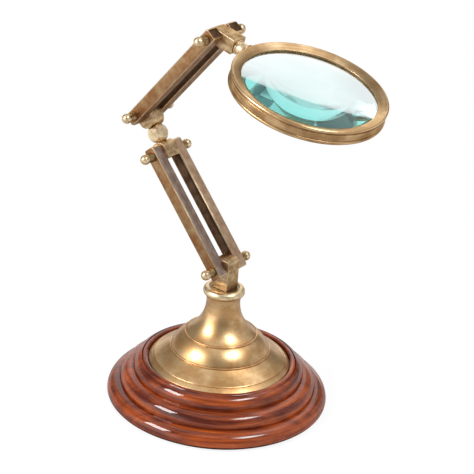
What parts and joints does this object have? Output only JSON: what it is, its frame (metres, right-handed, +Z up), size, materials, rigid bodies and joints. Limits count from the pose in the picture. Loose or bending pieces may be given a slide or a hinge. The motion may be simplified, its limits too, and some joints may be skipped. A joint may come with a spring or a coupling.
{
  "type": "table magnifier",
  "caption": "Table magnifier: a lens in a brass ring on a jointed brass arm that tilts, swivels and turns on a bell and a stepped round wooden base.",
  "frame": {"origin": "centre of the underside of the felt pad, on the table", "axes": "+Z up, +X level in the plane that the arm folds in, towards the side that the lens reaches out to, +Y along the pins of the arm"},
  "size_m": [0.1691, 0.14, 0.2407],
  "materials": {
    "felt": "matte felt",
    "wood": "glossy lacquer",
    "satin_brass": "satin, lightly aged",
    "polished_brass": "polished",
    "bar_brass": "brushed with reddish tarnish",
    "block_brass": "brushed",
    "ring_brass": "brushed",
    "steel": "plain",
    "lens_glass": "clear, faintly aqua"
  },
  "bodies": {
    "base": {"felt_pad": "felt", "wood_base": "wood", "bell": "satin_brass", "collar": "polished_brass", "rod_washer": "steel"},
    "post": {"post": "block_brass", "draw_rod": "steel", "rod_nut": "steel"},
    "lower_arm": {"lower_bar_left": "bar_brass", "lower_bar_right": "bar_brass", "post_pin": "steel", "elbow_lower_pin": "steel", "post_nut_left": "polished_brass", "post_nut_right": "polished_brass", "elbow_lower_nut_left": "polished_brass", "elbow_lower_nut_right": "polished_brass"},
    "elbow_lower": {"elbow_lower_block": "block_brass", "elbow_ball": "polished_brass", "elbow_stud": "steel"},
    "elbow_upper": {"elbow_upper_block": "block_brass"},
    "upper_arm": {"upper_bar_left": "bar_brass", "upper_bar_right": "bar_brass", "elbow_upper_pin": "steel", "head_pin": "steel", "elbow_upper_nut_left": "polished_brass", "elbow_upper_nut_right": "polished_brass", "head_nut_left": "polished_brass", "head_nut_right": "polished_brass"},
    "head": {"head_block": "block_brass"},
    "lens_group": {"lens_stem": "ring_brass", "lens_ring": "ring_brass", "lens": "lens_glass", "retaining_ring": "ring_brass"}
  },
  "joints": [
    {"name": "post_turn", "type": "hinge", "parent": "base", "child": "post", "pos_m": [0, 0, 0.0766], "axis": [0, 0, 1], "continuous": true},
    {"name": "lower_arm_tilt", "type": "hinge", "parent": "post", "child": "lower_arm", "pos_m": [0, 0, 0.0911], "axis": [0, 1, 0], "range_deg": [-85, 85]},
    {"name": "elbow_tilt", "type": "hinge", "parent": "lower_arm", "child": "elbow_lower", "pos_m": [-0.05174, 0, 0.15146], "axis": [0, -1, 0], "range_deg": [-68, 160]},
    {"name": "elbow_swivel", "type": "hinge", "parent": "elbow_lower", "child": "elbow_upper", "pos_m": [-0.05174, 0, 0.15146], "axis": [-0.585, 0, 0.8111], "continuous": true},
    {"name": "upper_arm_tilt", "type": "hinge", "parent": "elbow_upper", "child": "upper_arm", "pos_m": [-0.06776, 0, 0.17369], "axis": [0, -1, 0], "range_deg": [-60, 230]},
    {"name": "head_tilt", "type": "hinge", "parent": "upper_arm", "child": "head", "pos_m": [-0.01666, 0, 0.23459], "axis": [0, 1, 0], "range_deg": [-190, 70]},
    {"name": "lens_swivel", "type": "hinge", "parent": "head", "child": "lens_group", "pos_m": [-0.01666, 0, 0.23459], "axis": [0.965, 0, -0.2622], "continuous": true}
  ]
}
